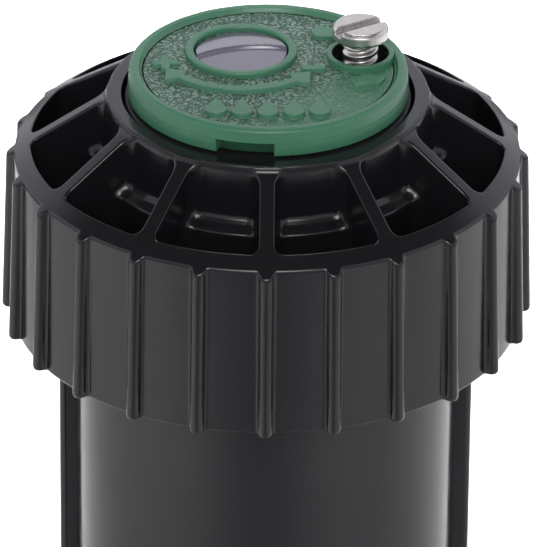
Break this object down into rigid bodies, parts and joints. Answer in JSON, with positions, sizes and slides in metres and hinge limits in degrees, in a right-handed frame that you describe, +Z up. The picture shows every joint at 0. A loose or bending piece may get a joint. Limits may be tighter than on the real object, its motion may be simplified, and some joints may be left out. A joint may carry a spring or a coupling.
{
  "type": "pop-up sprinkler",
  "caption": "Retracted pop-up gear-drive sprinkler: ribbed screw cap, sprung riser with filter, turbine and gear train, and a rotating turret with nozzle, radius screw and arc adjuster.",
  "frame": {"origin": "centre of the inlet's lower face, where the sprinkler stands", "axes": "+Z up along the riser, -Y the front of the turret, +X to the right seen from the front"},
  "size_m": [0.0648, 0.0648, 0.1909],
  "materials": {
    "black_plastic": "satin-gloss moulded black plastic",
    "inner_plastic": "matte dark moulded plastic",
    "green_plastic": "satin green moulded plastic, pebbled on the disc",
    "black_rubber": "soft black rubber",
    "violet_rubber": "smooth violet-grey rubber",
    "acetal": "natural acetal",
    "steel": "turned stainless steel",
    "nozzle_plastic": "grey moulded plastic"
  },
  "bodies": {
    "case": {"case_body": "black_plastic"},
    "seal_carrier": {"wiper_seal": "black_rubber", "spring_washer": "acetal", "retraction_spring": "steel"},
    "cap": {"cap": "black_plastic"},
    "ratchet": {"ratchet_ring": "acetal"},
    "riser": {"riser_stem": "black_plastic", "filter_basket": "inner_plastic", "stator_plate": "acetal", "gear_case_base": "inner_plastic", "gear_case_cover": "inner_plastic", "axle_pin_a": "steel", "axle_pin_b": "steel", "drive_bush": "acetal", "thrust_washer": "acetal", "trip_pin": "steel", "bypass_spring": "steel"},
    "bypass": {"bypass_poppet": "inner_plastic"},
    "turbine": {"turbine_wheel": "acetal", "turbine_shaft": "steel"},
    "gear_a1": {"gear_a1": "acetal"},
    "gear_b1": {"gear_b1": "acetal"},
    "gear_a2": {"gear_a2": "acetal"},
    "gear_b2": {"gear_b2": "acetal"},
    "output_drive": {"output_gear": "acetal", "drive_tube": "inner_plastic"},
    "turret": {"turret_body": "black_plastic", "turret_cap": "green_plastic", "arc_cover": "violet_rubber", "nozzle": "nozzle_plastic"},
    "arc_dial": {"arc_dial": "acetal"},
    "trip_ring": {"trip_ring": "acetal"},
    "trip_lever": {"trip_lever": "acetal"},
    "radius_screw": {"radius_screw": "steel"}
  },
  "joints": [
    {"name": "cap_lift", "type": "slide", "parent": "case", "child": "seal_carrier", "axis": [0, 0, 1], "range_m": [0, 0.008]},
    {"name": "cap_turn", "type": "hinge", "parent": "seal_carrier", "child": "cap", "pos_m": [0, 0, 0.165], "axis": [0, 0, 1], "range_deg": [0, 720]},
    {"name": "riser_pop", "type": "slide", "parent": "seal_carrier", "child": "ratchet", "axis": [0, 0, 1], "range_m": [0, 0.1016], "stiffness_N_per_m": 150, "springref_m": -0.08, "deforming": ["retraction_spring"]},
    {"name": "riser_turn", "type": "hinge", "parent": "ratchet", "child": "riser", "pos_m": [0, 0, 0.05], "axis": [0, 0, 1], "continuous": true},
    {"name": "bypass_lift", "type": "slide", "parent": "riser", "child": "bypass", "axis": [0, 0, 1], "range_m": [0, 0.004], "stiffness_N_per_m": 400, "springref_m": -0.002, "deforming": ["bypass_spring"]},
    {"name": "turbine_spin", "type": "hinge", "parent": "riser", "child": "turbine", "pos_m": [0, 0, 0.089], "axis": [0, 0, 1], "continuous": true},
    {"name": "gear_a1_spin", "type": "hinge", "parent": "riser", "child": "gear_a1", "pos_m": [-0.00485, 0.0028, 0.099], "axis": [0, 0, 1], "continuous": true},
    {"name": "gear_b1_spin", "type": "hinge", "parent": "riser", "child": "gear_b1", "pos_m": [-0.00485, -0.0028, 0.101], "axis": [0, 0, 1], "continuous": true},
    {"name": "gear_a2_spin", "type": "hinge", "parent": "riser", "child": "gear_a2", "pos_m": [-0.00485, 0.0028, 0.103], "axis": [0, 0, 1], "continuous": true},
    {"name": "gear_b2_spin", "type": "hinge", "parent": "riser", "child": "gear_b2", "pos_m": [-0.00485, -0.0028, 0.106], "axis": [0, 0, 1], "continuous": true},
    {"name": "output_spin", "type": "hinge", "parent": "riser", "child": "output_drive", "pos_m": [0, 0, 0.11], "axis": [0, 0, 1], "continuous": true},
    {"name": "turret_turn", "type": "hinge", "parent": "output_drive", "child": "turret", "pos_m": [0, 0, 0.17], "axis": [0, 0, 1], "range_deg": [-180, 180]},
    {"name": "arc_turn", "type": "hinge", "parent": "turret", "child": "arc_dial", "pos_m": [-0.0033, 0.00427, 0.17], "axis": [0, 0, 1], "range_deg": [-612.5, 787.5]},
    {"name": "trip_ring_turn", "type": "hinge", "parent": "turret", "child": "trip_ring", "pos_m": [0, 0, 0.161], "axis": [0, 0, 1], "range_deg": [-140, 180]},
    {"name": "screw_travel", "type": "slide", "parent": "turret", "child": "radius_screw", "axis": [0, 0, 1], "range_m": [-0.003, 0.005]},
    {"name": "trip_lever_turn", "type": "hinge", "parent": "riser", "child": "trip_lever", "pos_m": [0, -0.0086, 0.1577], "axis": [0, 0, 1], "range_deg": [-14, 14]}
  ],
  "couplings": [
    {"joint": "cap_lift", "follows": "cap_turn", "m_per_rad": 0.00063662},
    {"joint": "gear_a1_spin", "follows": "turbine_spin", "ratio": -0.33333},
    {"joint": "gear_b1_spin", "follows": "turbine_spin", "ratio": 0.11111},
    {"joint": "gear_a2_spin", "follows": "turbine_spin", "ratio": -0.037037},
    {"joint": "gear_b2_spin", "follows": "turbine_spin", "ratio": 0.012346},
    {"joint": "output_spin", "follows": "turbine_spin", "ratio": -0.0041152},
    {"joint": "trip_ring_turn", "follows": "arc_turn", "ratio": 0.22857}
  ]
}
